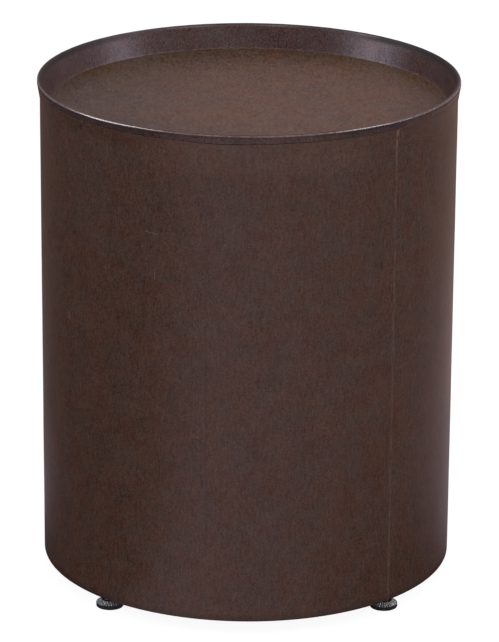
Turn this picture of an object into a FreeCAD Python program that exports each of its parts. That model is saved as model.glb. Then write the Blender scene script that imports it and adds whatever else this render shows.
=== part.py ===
import FreeCAD, Part
import os
import re
import Sketcher

# A round side table: a leather-covered plywood drum with a shallow tray for its top, standing
# on four levelling feet. Millimetres, +Z up, front towards -Y. The origin is on the floor,
# under the middle of the drum.

DIMENSIONS = {
    # the whole, over the leather
    "rim_radius": 228.6,  # the lip's outside
    "drum_radius": 225.7,  # the drum's side
    "overall_height": 555,  # floor to the top of the lip
    "floor_gap": 14,  # floor to the drum's lower edge
    # tray and rim
    "tray_depth": 26,  # lip to the leather on the tray's floor
    "wall_foot": 214.4,  # radius where the tray's wall meets its floor
    "lip_width": 4.1,  # across the top of the lip
    "lip_side": 4,  # upright stretch of the lip's outside
    "lip_round": 1.9,  # rounding of the lip
    "band_depth": 8.5,  # lip to the lower edge of the outer leather band
    "flare_depth": 21,  # lip to where the side starts to flare out
    # leather
    "leather": 1,
    "glue": 0.05,  # glue line between two curved faces
    "seam_gap": 0.3,  # between the butted edges of the side leather
    "seam_angle": -47.5,  # from +X; 42.5 degrees to the right of the front
    "hem_radius": 194,  # inner edge of the leather turned under the drum
    "hem_round": 0.9,  # rounding of the drum's lower edge
    "stem_hole": 5.5,  # radius of the holes that the feet pass in the turned leather
    # plywood drum
    "shell_wall": 6,
    "panel_thickness": 12,
    "panel_rebate": 6,
    "base_thickness": 18,
    "base_rebate": 9,
    "base_opening": 180,  # inner radius of the base ring
    "rib_opening": 192,  # inner radius of the middle ring
    "rib_thickness": 12,
    "post_width": 30,
    "post_depth": 18,
    # wood screws, 4.0 x 40 countersunk
    "screw_length": 40,
    "screw_head": 4,  # radius of the head
    "screw_shank": 2,  # radius of the shank
    "screw_tip": 5,  # length of the point
    "recess_width": 1.1,  # arms of the cross recess
    "recess_reach": 2.3,
    "recess_depth": 1.5,
    "drill_gap": 0.05,  # radial clearance of each drilled hole
    # threaded inserts, M8
    "insert_radius": 6.25,
    "insert_length": 16,
    "thread_bore": 4,
    "insert_chamfer": 0.8,
    # levelling feet
    "foot_circle": 210.5,  # radius of the circle that the feet stand on
    "support_count": 4,  # feet, and posts half way between them
    "foot_angle": 45,  # of the first foot, from +X; the others follow at quarter turns
    "pad_radius": 15,
    "pad_edge": 4.8,  # height of the pad's upright side
    "pad_height": 8,
    "pad_crown": 8.6,  # radius of the flat on top of the pad
    "pad_chamfer": 0.6,
    "pad_bore": 3.6,
    "pad_recess": 6.2,
    "pad_recess_depth": 2.4,
    "rib_count": 30,
    "flute_width": 1.3,
    "flute_depth": 0.6,
    "rivet_radius": 5.6,
    "rivet_thickness": 1.3,
    "stem_journal": 3.54,
    "stem_radius": 3.95,
    "stem_length": 35,  # thread above the hexagon
    "stem_chamfer": 0.9,
    "hexagon_across": 13,
    "hexagon_height": 3.1,
    "swivel_gap": 0.1,  # play of the riveted stem along its axis
    # dust cover and its staples
    "cover_radius": 200,
    "cover_thickness": 0.6,
    "staple_circle": 197,
    "staple_count": 30,
    "staple_crown": 10,
    "staple_leg": 8,
    "staple_wire": 0.9,
}

DERIVED = {
    "lip_inner": "rim_radius - lip_width",
    "tray_floor": "overall_height - tray_depth",
    "wall_lean": "(lip_inner - wall_foot) / tray_depth",
    "panel_top": "tray_floor - leather",
    "panel_bottom": "panel_top - panel_thickness",
    "panel_ledge": "panel_bottom + panel_rebate",
    "wall_end": "wall_foot - wall_lean * leather",
    "band_edge": "overall_height - band_depth",
    "flare_start": "overall_height - flare_depth",
    "flare_end": "overall_height - lip_side",
    "flare_lean": "(rim_radius - drum_radius) / (flare_end - flare_start)",
    "band_radius": "drum_radius + flare_lean * (band_edge - flare_start)",
    "skin": "leather + glue",
    "shell_outer": "drum_radius - skin",
    "shell_inner": "shell_outer - shell_wall",
    "plug_radius": "shell_inner - glue",
    "base_bottom": "floor_gap + leather",
    "base_top": "base_bottom + base_thickness",
    "base_ledge": "base_top - base_rebate",
    "rib_bottom": "(base_top + panel_bottom - rib_thickness) / 2",
    "post_face": "sqrt(shell_inner^2 - (post_width / 2)^2) - glue",
    "post_back": "post_face - post_depth",
    "screw_circle": "post_face - post_depth / 2",
    "screw_flank": "screw_head - screw_shank",
    "drill_head": "screw_head + drill_gap",
    "drill_shank": "screw_shank + drill_gap",
    "insert_top": "base_bottom + insert_length",
    "hexagon_bottom": "pad_height + swivel_gap",
    "hexagon_top": "hexagon_bottom + hexagon_height",
    "hexagon_corner": "hexagon_across / 2 / cos(30)",
    "stem_top": "hexagon_top + stem_length",
    "rivet_top": "pad_recess_depth - swivel_gap",
    "rivet_bottom": "rivet_top - rivet_thickness",
    "cover_bottom": "floor_gap - cover_thickness",
    "staple_bottom": "cover_bottom - staple_wire",
    "staple_top": "cover_bottom + staple_leg",
    "staple_half": "staple_crown / 2",
}

# where the feet and the posts stand, as angles from +X
CORNERS = {
    "back_right": "foot_angle",
    "back_left": "foot_angle + 90",
    "front_left": "foot_angle + 180",
    "front_right": "foot_angle + 270",
}
SIDES = {"right": "0", "back": "90", "left": "180", "front": "270"}
Z_AXIS = FreeCAD.Vector(0, 0, 1)
SAME_PLACE = 1e-4  # an edge this near a stated place is the edge meant
LEAST_CUT = 0.1  # cubic millimetres; a cut that takes away less has missed

doc = FreeCAD.newDocument("drum_side_table")
dims = doc.addObject("Spreadsheet::Sheet", "dims")
for row, (alias, number) in enumerate(DIMENSIONS.items(), start=1):
    dims.set(f"A{row}", alias)
    dims.set(f"B{row}", str(number))
    dims.setAlias(f"B{row}", alias)
doc.recompute()

nodes = []


# ---- expressions on the sheet ----


def sized(text):
    """The expression with derived names written out and the sheet's names as references."""

    def reference(match):
        word = match.group()
        if word in DERIVED:
            return "(" + sized(DERIVED[word]) + ")"
        return "dims." + word if word in DIMENSIONS else word

    return re.sub(r"[a-z_]+", reference, text)


def number_of(text):
    """The number that the expression comes to."""
    return float(dims.evalExpression(sized(text)))


# ---- bodies, sketches and features ----


def new_body(name):
    """An empty body, which is exported under its name."""
    body = doc.addObject("PartDesign::Body", name)
    body.Label = name
    nodes.append(body)
    return body


def origin_part(body, role):
    """The plane or axis of the body's own origin with this role."""
    return next(part for part in body.Origin.OriginFeatures if part.Role == role)


def new_sketch(body, name, role, offset=None):
    """A sketch on one of the body's origin planes, moved along that plane's normal."""
    sketch = body.newObject("Sketcher::SketchObject", name)
    sketch.AttachmentSupport = [(origin_part(body, role), "")]
    sketch.MapMode = "FlatFace"
    if offset is not None:
        sketch.setExpression("AttachmentOffset.Base.z", sized(offset))
    return sketch


def place_point(sketch, line, point):
    """Ties the start of a line to two expressions, measured from the sketch's origin."""
    for kind, text in zip(("DistanceX", "DistanceY"), point):
        constraint = Sketcher.Constraint(kind, -1, 1, line, 1, number_of(text))
        index = sketch.addConstraint(constraint)
        sketch.setExpression(f"Constraints[{index}]", sized(text))


def add_outline(sketch, points):
    """A closed outline of straight lines, each corner a pair of expressions."""
    corners = [FreeCAD.Vector(number_of(x), number_of(y), 0) for x, y in points]
    count = len(corners)
    first = sketch.GeometryCount
    for index in range(count):
        line = Part.LineSegment(corners[index], corners[(index + 1) % count])
        sketch.addGeometry(line, False)
    for index in range(count):
        following = first + (index + 1) % count
        sketch.addConstraint(Sketcher.Constraint("Coincident", first + index, 2, following, 1))
        place_point(sketch, first + index, points[index])


def add_circle(sketch, centre, radius):
    """A circle, its centre and radius as expressions."""
    middle = FreeCAD.Vector(number_of(centre[0]), number_of(centre[1]), 0)
    circle = sketch.addGeometry(Part.Circle(middle, Z_AXIS, number_of(radius)), False)
    for kind, text in zip(("DistanceX", "DistanceY"), centre):
        index = sketch.addConstraint(
            Sketcher.Constraint(kind, -1, 1, circle, 3, number_of(text))
        )
        sketch.setExpression(f"Constraints[{index}]", sized(text))
    index = sketch.addConstraint(Sketcher.Constraint("Radius", circle, number_of(radius)))
    sketch.setExpression(f"Constraints[{index}]", sized(radius))


def turned(body, name, points, kind="PartDesign::Revolution", axis=None, angle="360"):
    """A profile of (radius, height) corners turned about the body's Z axis, or one beside it."""
    sketch = new_sketch(body, name + "_profile", "XZ_Plane")
    if axis is None:
        add_outline(sketch, points)
        line = "V_Axis"
    else:
        add_outline(sketch, [(f"{axis} + {radius}", height) for radius, height in points])
        foot = FreeCAD.Vector(number_of(axis), number_of(points[0][1]), 0)
        centre = sketch.addGeometry(Part.LineSegment(foot, foot + FreeCAD.Vector(0, 1, 0)), True)
        place_point(sketch, centre, (axis, points[0][1]))
        sketch.addConstraint(Sketcher.Constraint("Vertical", centre))
        line = "Axis0"
    feature = body.newObject(kind, name)
    feature.Profile = sketch
    feature.ReferenceAxis = (sketch, [line])
    feature.setExpression("Angle", sized(angle))
    return settle(feature)


def padded_up(body, sketch, name, length, midplane=False):
    """The sketch's outline given a thickness, along its plane's normal or both ways."""
    feature = body.newObject("PartDesign::Pad", name)
    feature.Profile = sketch
    feature.setExpression("Length", sized(length))
    feature.Midplane = midplane
    return settle(feature)


def pocket(body, sketch, name, length, upward=False, midplane=False):
    """A cut of this depth from the sketch: down, up, or both ways from its plane."""
    feature = body.newObject("PartDesign::Pocket", name)
    feature.Profile = sketch
    feature.setExpression("Length", sized(length))
    feature.Reversed = upward
    feature.Midplane = midplane
    return settle(feature)


def around(body, feature, count):
    """The feature repeated evenly about the body's Z axis."""
    pattern = body.newObject("PartDesign::PolarPattern", feature.Name + "_pattern")
    pattern.Originals = [feature]
    pattern.Axis = (origin_part(body, "Z_Axis"), [""])
    pattern.Angle = 360
    pattern.setExpression("Occurrences", sized(count))
    body.Tip = pattern
    return settle(pattern)


def rounded(body, feature, name, rings, radius):
    """The circular edges at these (radius, height) places rounded over."""
    places = [(number_of(ring), number_of(height)) for ring, height in rings]
    edges = []
    for index, edge in enumerate(feature.Shape.Edges, start=1):
        if not isinstance(edge.Curve, Part.Circle):
            continue
        ring, height = edge.Curve.Radius, edge.Curve.Center.z
        if any(abs(ring - r) + abs(height - z) < SAME_PLACE for r, z in places):
            edges.append(f"Edge{index}")
    fillet = body.newObject("PartDesign::Fillet", name)
    fillet.Base = (feature, edges)
    fillet.setExpression("Radius", sized(radius))
    return settle(fillet)


def settle(feature):
    """Recomputes, and stops if the feature failed or a cut took nothing away."""
    doc.recompute()
    body = feature.getParentGeoFeatureGroup()
    if "Invalid" in feature.State or "Error" in feature.State:
        raise RuntimeError(f"{feature.Name} failed")
    before = getattr(feature, "BaseFeature", None)
    cuts = feature.TypeId in ("PartDesign::Pocket", "PartDesign::Groove")
    if cuts and before is not None and before.Shape.Volume - feature.Shape.Volume < LEAST_CUT:
        raise RuntimeError(f"{feature.Name} cuts nothing out of {body.Name}")
    return feature


def place(body, x="0", y="0", angle="0"):
    """Puts the body at x, y on the floor, turned about Z."""
    body.Placement.Rotation.Axis = Z_AXIS
    body.setExpression("Placement.Base.x", sized(x))
    body.setExpression("Placement.Base.y", sized(y))
    body.setExpression("Placement.Rotation.Angle", sized(angle))
    doc.recompute()


# ---- the plywood drum ----


def make_drum_shell():
    """The bent plywood tube between the base ring's ledge and the tray panel's ledge."""
    body = new_body("drum_shell")
    outline = [
        ("shell_inner", "base_ledge"),
        ("shell_outer", "base_ledge"),
        ("shell_outer", "panel_ledge"),
        ("shell_inner", "panel_ledge"),
    ]
    turned(body, "shell_tube", outline)


def countersink(body, name, face, depth, upward):
    """Four drilled and countersunk holes on the posts' axes, from a face into the board."""
    way = "-" if upward else "+"
    back = "+" if upward else "-"
    outline = [
        ("0", f"{face} {way} 1"),
        ("drill_head", f"{face} {way} 1"),
        ("drill_head", face),
        ("drill_shank", f"{face} {back} screw_flank"),
        ("drill_shank", f"{face} {back} {depth} {back} 1"),
        ("0", f"{face} {back} {depth} {back} 1"),
    ]
    hole = turned(body, name, outline, kind="PartDesign::Groove", axis="screw_circle")
    around(body, hole, "support_count")


def make_tray_panel():
    """The plywood disc under the tray, rebated to drop into the shell."""
    body = new_body("tray_panel")
    outline = [
        ("0", "panel_bottom"),
        ("plug_radius", "panel_bottom"),
        ("plug_radius", "panel_ledge"),
        ("shell_outer", "panel_ledge"),
        ("shell_outer", "panel_top"),
        ("0", "panel_top"),
    ]
    turned(body, "tray_disc", outline)
    countersink(body, "tray_screw_hole", "panel_top", "panel_thickness", upward=False)


def make_rim_hoop():
    """The hoop that leans outward: a broad foot on the tray panel, a thin top in the lip."""
    body = new_body("rim_hoop")
    outline = [
        ("wall_end + skin", "panel_top"),
        ("shell_outer", "panel_top"),
        ("shell_outer", "flare_start"),
        ("rim_radius - skin", "flare_end"),
        ("rim_radius - skin", "overall_height - skin"),
        ("lip_inner + skin", "overall_height - skin"),
    ]
    turned(body, "hoop_wedge", outline)


def make_middle_ring():
    """The stiffening ring half way up the drum, notched round the posts."""
    body = new_body("middle_ring")
    outline = [
        ("rib_opening", "rib_bottom"),
        ("plug_radius", "rib_bottom"),
        ("plug_radius", "rib_bottom + rib_thickness"),
        ("rib_opening", "rib_bottom + rib_thickness"),
    ]
    turned(body, "rib_disc", outline)
    sketch = new_sketch(body, "post_notch_outline", "XY_Plane", offset="rib_bottom")
    half = "post_width / 2 + drill_gap"
    outline = [
        ("post_back - drill_gap", f"-({half})"),
        ("shell_outer", f"-({half})"),
        ("shell_outer", half),
        ("post_back - drill_gap", half),
    ]
    add_outline(sketch, outline)
    notch = pocket(body, sketch, "post_notch", "rib_thickness", upward=True)
    around(body, notch, "support_count")


def make_base_ring():
    """The plywood ring that closes the drum's foot, bored for inserts and base screws."""
    body = new_body("base_ring")
    outline = [
        ("base_opening", "base_bottom"),
        ("shell_outer", "base_bottom"),
        ("shell_outer", "base_ledge"),
        ("plug_radius", "base_ledge"),
        ("plug_radius", "base_top"),
        ("base_opening", "base_top"),
    ]
    turned(body, "base_disc", outline)
    sketch = new_sketch(body, "insert_hole_outline", "XY_Plane", offset="base_bottom")
    centre = ("foot_circle * cos(foot_angle)", "foot_circle * sin(foot_angle)")
    add_circle(sketch, centre, "insert_radius + drill_gap")
    hole = pocket(body, sketch, "insert_hole", "base_thickness", upward=True)
    around(body, hole, "support_count")
    countersink(body, "base_screw_hole", "base_bottom", "base_thickness", upward=True)


def make_post(side, angle):
    """An upright from the base ring to the tray panel, drilled at both ends for its screws."""
    body = new_body("post_" + side)
    sketch = new_sketch(body, side + "_post_section", "XY_Plane", offset="base_top")
    outline = [
        ("post_back", "-post_width / 2"),
        ("post_face", "-post_width / 2"),
        ("post_face", "post_width / 2"),
        ("post_back", "post_width / 2"),
    ]
    add_outline(sketch, outline)
    padded_up(body, sketch, side + "_post_length", "panel_bottom - base_top")
    drill = "screw_length - {} + 1"
    sketch = new_sketch(body, side + "_lower_pilot_outline", "XY_Plane", offset="base_top")
    add_circle(sketch, ("screw_circle", "0"), "drill_shank")
    pocket(body, sketch, side + "_lower_pilot", drill.format("base_thickness"), upward=True)
    sketch = new_sketch(body, side + "_upper_pilot_outline", "XY_Plane", offset="panel_bottom")
    add_circle(sketch, ("screw_circle", "0"), "drill_shank")
    pocket(body, sketch, side + "_upper_pilot", drill.format("panel_thickness"))
    place(body, angle=angle)


# ---- the leather ----


def make_side_wrap():
    """The sheet round the drum, butted at one upright seam and turned under at the bottom."""
    body = new_body("side_wrap")
    inside = "drum_radius - leather"
    outline = [
        ("hem_radius", "floor_gap"),
        ("drum_radius", "floor_gap"),
        ("drum_radius", "flare_start"),
        ("band_radius", "band_edge"),
        ("band_radius - leather", "band_edge"),
        (inside, "flare_start"),
        (inside, "base_bottom"),
        ("hem_radius", "base_bottom"),
    ]
    seam = "seam_gap / drum_radius * 180 / pi"
    sheet = turned(body, "side_sheet", outline, angle=f"360 - {seam}")
    rounded(body, sheet, "lower_edge", [("drum_radius", "floor_gap")], "hem_round")
    sketch = new_sketch(body, "foot_hole_outline", "XY_Plane", offset="floor_gap")
    start = f"seam_angle + {seam} / 2"
    turn = f"foot_angle - ({start})"
    add_circle(sketch, (f"foot_circle * cos({turn})", f"foot_circle * sin({turn})"), "stem_hole")
    hole = pocket(body, sketch, "foot_hole", "leather", upward=True)
    around(body, hole, "support_count")
    place(body, angle=start)


def make_rim_wrap():
    """The strip that lines the tray's wall, folds over the lip and ends in the outer band."""
    body = new_body("rim_wrap")
    lip = "overall_height"
    outline = [
        ("wall_end", "panel_top"),
        ("lip_inner", lip),
        ("rim_radius", lip),
        ("rim_radius", "flare_end"),
        ("band_radius", "band_edge"),
        ("band_radius - leather", "band_edge"),
        ("rim_radius - leather", "flare_end"),
        ("rim_radius - leather", f"{lip} - leather"),
        ("lip_inner + leather", f"{lip} - leather"),
        ("wall_end + leather", "panel_top"),
    ]
    strip = turned(body, "rim_strip", outline)
    rounded(body, strip, "lip_edge", [("lip_inner", lip), ("rim_radius", lip)], "lip_round")


def make_tray_leather():
    """The disc glued on the tray panel, inside the wall's leather."""
    body = new_body("tray_leather")
    edge = "wall_end - glue"
    outline = [("0", "panel_top"), (edge, "panel_top"), (edge, "tray_floor"), ("0", "tray_floor")]
    turned(body, "tray_sheet", outline)


# ---- dust cover ----


def make_dust_cover():
    """The cloth disc that closes the underside, over the edge of the turned leather."""
    body = new_body("dust_cover")
    sketch = new_sketch(body, "cover_outline", "XY_Plane", offset="cover_bottom")
    add_circle(sketch, ("0", "0"), "cover_radius")
    padded_up(body, sketch, "cover_disc", "cover_thickness")


def make_dust_cover_staples():
    """The staples round the cover's edge, driven through the leather into the base ring."""
    body = new_body("dust_cover_staples")
    sketch = new_sketch(body, "staple_outline", "YZ_Plane", offset="staple_circle")
    inner = "staple_half - staple_wire"
    outline = [
        ("-staple_half", "staple_bottom"),
        ("staple_half", "staple_bottom"),
        ("staple_half", "staple_top"),
        (inner, "staple_top"),
        (inner, "cover_bottom"),
        (f"-({inner})", "cover_bottom"),
        (f"-({inner})", "staple_top"),
        ("-staple_half", "staple_top"),
    ]
    add_outline(sketch, outline)
    staple = padded_up(body, sketch, "staple", "staple_wire", midplane=True)
    around(body, staple, "staple_count")


# ---- screws and inserts ----


def make_wood_screws(name, face, upward):
    """Four countersunk screws, their heads flush with a face, pointing up or down."""
    body = new_body(name)
    way = "+" if upward else "-"
    outline = [
        ("0", face),
        ("screw_head", face),
        ("screw_shank", f"{face} {way} screw_flank"),
        ("screw_shank", f"{face} {way} (screw_length - screw_tip)"),
        ("0", f"{face} {way} screw_length"),
    ]
    screw = turned(body, name + "_shank", outline, axis="screw_circle")
    around(body, screw, "support_count")
    arm = "recess_width / 2"
    arms = {"_cross": ("recess_reach", arm), "_cross_arm": (arm, "recess_reach")}
    for suffix, (along, across) in arms.items():
        sketch = new_sketch(body, name + suffix + "_outline", "XY_Plane", offset=face)
        left, right = f"screw_circle - {along}", f"screw_circle + {along}"
        outline = [
            (left, f"-({across})"),
            (right, f"-({across})"),
            (right, across),
            (left, across),
        ]
        add_outline(sketch, outline)
        recess = pocket(body, sketch, name + suffix, "recess_depth", upward=upward)
        around(body, recess, "support_count")


def make_threaded_inserts():
    """Four M8 sleeves, flush with the underside of the base ring."""
    body = new_body("threaded_inserts")
    outline = [
        ("thread_bore + insert_chamfer", "base_bottom"),
        ("insert_radius", "base_bottom"),
        ("insert_radius", "insert_top - insert_chamfer"),
        ("insert_radius - insert_chamfer", "insert_top"),
        ("thread_bore", "insert_top"),
        ("thread_bore", "base_bottom + insert_chamfer"),
    ]
    sleeve = turned(body, "insert_sleeve", outline, axis="foot_circle")
    around(body, sleeve, "support_count")
    place(body, angle="foot_angle")


# ---- levelling feet ----


def stand_on_circle(body, angle):
    """Moves a piece of a foot from the origin to its corner."""
    place(body, f"foot_circle * cos({angle})", f"foot_circle * sin({angle})", angle)


def make_leveller_pad(corner, angle):
    """The round base of a foot: fluted side, ribbed cone, bored for the riveted stem."""
    body = new_body("leveller_pad_" + corner)
    outline = [
        ("pad_recess", "0"),
        ("pad_radius - pad_chamfer", "0"),
        ("pad_radius", "pad_chamfer"),
        ("pad_radius", "pad_edge"),
        ("pad_crown", "pad_height"),
        ("pad_bore", "pad_height"),
        ("pad_bore", "pad_recess_depth"),
        ("pad_recess", "pad_recess_depth"),
    ]
    turned(body, corner + "_pad_disc", outline)
    sketch = new_sketch(body, corner + "_flute_outline", "XZ_Plane")
    inside = "pad_radius - flute_depth"
    outline = [
        (inside, "pad_chamfer"),
        ("pad_radius + 1", "pad_chamfer"),
        ("pad_radius + 1", "pad_height"),
        ("pad_crown", "pad_height"),
        ("pad_crown", "pad_height - flute_depth"),
        (inside, "pad_edge - flute_depth"),
    ]
    add_outline(sketch, outline)
    flute = pocket(body, sketch, corner + "_flute", "flute_width", midplane=True)
    around(body, flute, "rib_count")
    stand_on_circle(body, angle)


def make_leveller_stem(corner, angle):
    """The steel stem of a foot: rivet head, journal in the pad, hexagon, M8 thread."""
    body = new_body("leveller_stem_" + corner)
    outline = [
        ("0", "rivet_bottom"),
        ("rivet_radius", "rivet_bottom"),
        ("rivet_radius", "rivet_top"),
        ("stem_journal", "rivet_top"),
        ("stem_journal", "hexagon_bottom"),
        ("stem_radius", "hexagon_bottom"),
        ("stem_radius", "stem_top - stem_chamfer"),
        ("stem_radius - stem_chamfer", "stem_top"),
        ("0", "stem_top"),
    ]
    turned(body, corner + "_stem_shaft", outline)
    sketch = new_sketch(body, corner + "_hexagon_outline", "XY_Plane", offset="hexagon_bottom")
    outline = [
        (f"hexagon_corner * cos({turn})", f"hexagon_corner * sin({turn})")
        for turn in range(0, 360, 60)
    ]
    add_outline(sketch, outline)
    padded_up(body, sketch, corner + "_hexagon", "hexagon_height")
    stand_on_circle(body, angle)


# ---- the whole ----


def check_all():
    """Stops if any object failed, or any piece is empty, broken or not the solids it should be."""
    for thing in doc.Objects:
        if "Invalid" in thing.State or "Error" in thing.State:
            raise RuntimeError(f"{thing.Name}: {thing.State}")
    for body in nodes:
        if body.Shape.isNull() or not body.Shape.isValid() or not body.Shape.Solids:
            raise RuntimeError(f"{body.Label} is not a valid solid")


def export_all():
    """Writes each piece to its own file."""
    os.makedirs("parts", exist_ok=True)
    for body in nodes:
        body.Shape.exportStep(f"parts/{body.Label}.step")


make_drum_shell()
make_tray_panel()
make_rim_hoop()
make_middle_ring()
make_base_ring()
for post_side, post_angle in SIDES.items():
    make_post(post_side, post_angle)
make_side_wrap()
make_rim_wrap()
make_tray_leather()
make_dust_cover()
make_dust_cover_staples()
make_wood_screws("tray_screws", "panel_top", upward=False)
make_wood_screws("base_screws", "base_bottom", upward=True)
make_threaded_inserts()
for foot_corner, corner_angle in CORNERS.items():
    make_leveller_pad(foot_corner, corner_angle)
    make_leveller_stem(foot_corner, corner_angle)
doc.recompute()
check_all()
export_all()
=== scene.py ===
import bpy
import math
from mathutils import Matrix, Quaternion, Vector, noise


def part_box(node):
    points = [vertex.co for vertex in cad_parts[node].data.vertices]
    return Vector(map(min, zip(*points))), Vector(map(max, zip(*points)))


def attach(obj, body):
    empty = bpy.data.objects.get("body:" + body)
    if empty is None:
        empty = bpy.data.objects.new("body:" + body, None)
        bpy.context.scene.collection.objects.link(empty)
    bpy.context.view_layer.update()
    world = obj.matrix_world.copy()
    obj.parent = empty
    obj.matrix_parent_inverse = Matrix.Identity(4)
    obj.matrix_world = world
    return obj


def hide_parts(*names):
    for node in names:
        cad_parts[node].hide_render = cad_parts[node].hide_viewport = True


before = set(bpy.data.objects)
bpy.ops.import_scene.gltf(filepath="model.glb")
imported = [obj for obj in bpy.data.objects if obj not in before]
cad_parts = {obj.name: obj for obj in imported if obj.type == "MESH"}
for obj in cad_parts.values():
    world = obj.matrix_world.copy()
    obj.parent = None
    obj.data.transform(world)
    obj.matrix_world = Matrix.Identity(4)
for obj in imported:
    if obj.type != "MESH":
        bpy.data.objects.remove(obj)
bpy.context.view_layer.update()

# A round side table in dark brown leather: a drum, a shallow tray with a thin flared lip,
# and four levelling feet. Metres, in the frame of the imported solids.

MM = 0.001
TURN = 2 * math.pi

# ---- sizes, from the solids where they hold them ----

LIP_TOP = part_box("rim_wrap")[1].z
RIM_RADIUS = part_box("rim_wrap")[1].x
PANEL_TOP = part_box("rim_wrap")[0].z
TRAY_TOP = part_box("tray_leather")[1].z
TRAY_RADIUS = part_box("tray_leather")[1].x
BAND_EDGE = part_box("side_wrap")[1].z
BAND_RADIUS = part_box("side_wrap")[1].x
DRUM_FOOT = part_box("side_wrap")[0].z
LEATHER = TRAY_TOP - PANEL_TOP
GLUE = 0.05 * MM
DRUM_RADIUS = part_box("drum_shell")[1].x + LEATHER + GLUE
FLARE_START = LIP_TOP - 21 * MM  # where the side starts to flare out
LIP_WIDTH = 4.1 * MM
LIP_SIDE = 4 * MM  # upright stretch of the lip's outside
LIP_INNER_ROUND = 1.0 * MM
LIP_OUTER_ROUND = 1.7 * MM
FOOT_ROUND = 0.9 * MM  # rounding of the drum's lower edge
WALL_END = TRAY_RADIUS + GLUE  # foot of the tray's wall
HEM_RADIUS = 194 * MM  # inner edge of the leather turned under the drum
SEAM_ANGLE = math.radians(-47.5)  # 42.5 degrees to the right of the front
SEAM_GAP = 0.3 * MM
SEAM_SPREAD = 0.45 * MM  # how much further each edge stands back at the top
STEM_HOLE = 5.5 * MM
FOOT_CIRCLE = 210.5 * MM
CORNERS = {"front_left": -135, "front_right": -45, "back_right": 45, "back_left": 135}
COVER_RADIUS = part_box("dust_cover")[1].x
COVER_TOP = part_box("dust_cover")[1].z
COVER_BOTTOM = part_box("dust_cover")[0].z
COVER_SAG = 2.6  # millimetres, in the middle
STAPLE_BOTTOM, STAPLE_TOP = (corner.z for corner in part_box("dust_cover_staples"))
STAPLE_CIRCLE = 197 * MM
STAPLE_COUNT = 30
STAPLE_CROWN = 10 * MM
STAPLE_WIRE = 0.9 * MM


# ---- shader trees as expressions ----


class Wire:
    """A socket's value, so that maths on it reads as maths."""

    def __init__(self, recipe, socket):
        self.recipe = recipe
        self.socket = socket

    def maths(self, operation, first, second):
        return self.recipe.node("Math", {0: first, 1: second}, {"operation": operation})

    def __add__(self, other):
        return self.maths("ADD", self, other)

    def __radd__(self, other):
        return self.maths("ADD", other, self)

    def __sub__(self, other):
        return self.maths("SUBTRACT", self, other)

    def __rsub__(self, other):
        return self.maths("SUBTRACT", other, self)

    def __mul__(self, other):
        return self.maths("MULTIPLY", self, other)

    def __rmul__(self, other):
        return self.maths("MULTIPLY", other, self)

    def __truediv__(self, other):
        return self.maths("DIVIDE", self, other)

    def __pow__(self, other):
        return self.maths("POWER", self, other)


class Recipe:
    """The node tree of one finish, or of the world."""

    def __init__(self, owner):
        self.owner = owner
        owner.use_nodes = True
        self.tree = owner.node_tree
        self.tree.nodes.clear()

    def node(self, kind, inputs=None, settings=None, output=0):
        """Adds a shader node with these socket values or links and settings. Gives one output."""
        made = self.tree.nodes.new("ShaderNode" + kind)
        for name, value in (settings or {}).items():
            if name == "stops":
                set_stops(made.color_ramp, value)
            else:
                setattr(made, name, value)
        for key, value in (inputs or {}).items():
            if isinstance(value, Wire):
                self.tree.links.new(value.socket, made.inputs[key])
            else:
                made.inputs[key].default_value = value
        return Wire(self, made.outputs[output]) if made.outputs else None

    def place(self):
        """The point on the piece, in metres."""
        return self.node("TexCoord", output="Object")

    def vector(self, operation, first, second, output=0):
        return self.node("VectorMath", {0: first, 1: second}, {"operation": operation}, output)

    def scaled(self, way, factor):
        """A vector or colour made longer or shorter."""
        return self.node("VectorMath", {0: way, "Scale": factor}, {"operation": "SCALE"})

    def stroke(self, place, start, end, width):
        """1 along the straight line from start to end, fading to 0 at its width."""
        span = Vector(end) - Vector(start)
        ahead = self.vector("SUBTRACT", place, start)
        along = self.vector("DOT_PRODUCT", ahead, span, "Value") / span.length_squared
        part = self.node("Clamp", {"Value": along})
        away = self.vector("DISTANCE", ahead, self.scaled(span, part), "Value")
        return self.between(away, 0.2 * width, width, 1.0, 0.0)

    def parts(self, place):
        """The x, y and z of a point."""
        split = self.node("SeparateXYZ", {0: place}).socket.node
        return [Wire(self, socket) for socket in split.outputs]

    def noise(self, place, size, detail=2.0, roughness=0.5, drawn=None):
        """Soft noise whose features are about this size, in metres, or drawn out along an axis."""
        if drawn:
            place = self.vector("MULTIPLY", place, drawn)
        inputs = {"Vector": place, "Scale": 1 / size, "Detail": detail, "Roughness": roughness}
        return self.node("TexNoise", inputs, output="Fac")

    def cells(self, place, size, feature, randomness=1.0):
        """How far the nearest cell's middle is, in cells of about this size, in metres."""
        inputs = {"Vector": place, "Scale": 1 / size, "Randomness": randomness}
        return self.node("TexVoronoi", inputs, {"feature": feature}, "Distance")

    def between(self, value, low, high, start=0.0, end=1.0):
        """The value's stretch from low to high, brought smoothly to start and end."""
        inputs = {"Value": value, 1: low, 2: high, 3: start, 4: end}
        return self.node("MapRange", inputs, {"interpolation_type": "SMOOTHSTEP"})

    def attribute(self, name):
        """A value that the mesh carries at its corners."""
        return self.node("Attribute", None, {"attribute_name": name}, "Fac")

    def mix(self, factor, first, second, how="MIX"):
        """Two colours mixed."""
        settings = {"data_type": "RGBA", "blend_type": how}
        return self.node("Mix", {0: factor, 6: first, 7: second}, settings, 2)

    def ramp(self, factor, stops):
        return self.node("ValToRGB", {0: factor}, {"stops": stops})

    def surface(self, colour, roughness, relief, depth, **others):
        """The piece's shader. Its relief, from 0 to 1, stands for a depth in metres."""
        normal = self.node("Bump", {"Height": relief, "Distance": depth})
        inputs = {"Base Color": colour, "Roughness": roughness, "Normal": normal}
        inputs |= {name.replace("_", " "): value for name, value in others.items()}
        shader = self.node("BsdfPrincipled", inputs)
        self.node("OutputMaterial", {"Surface": shader})
        return self.owner


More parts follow.
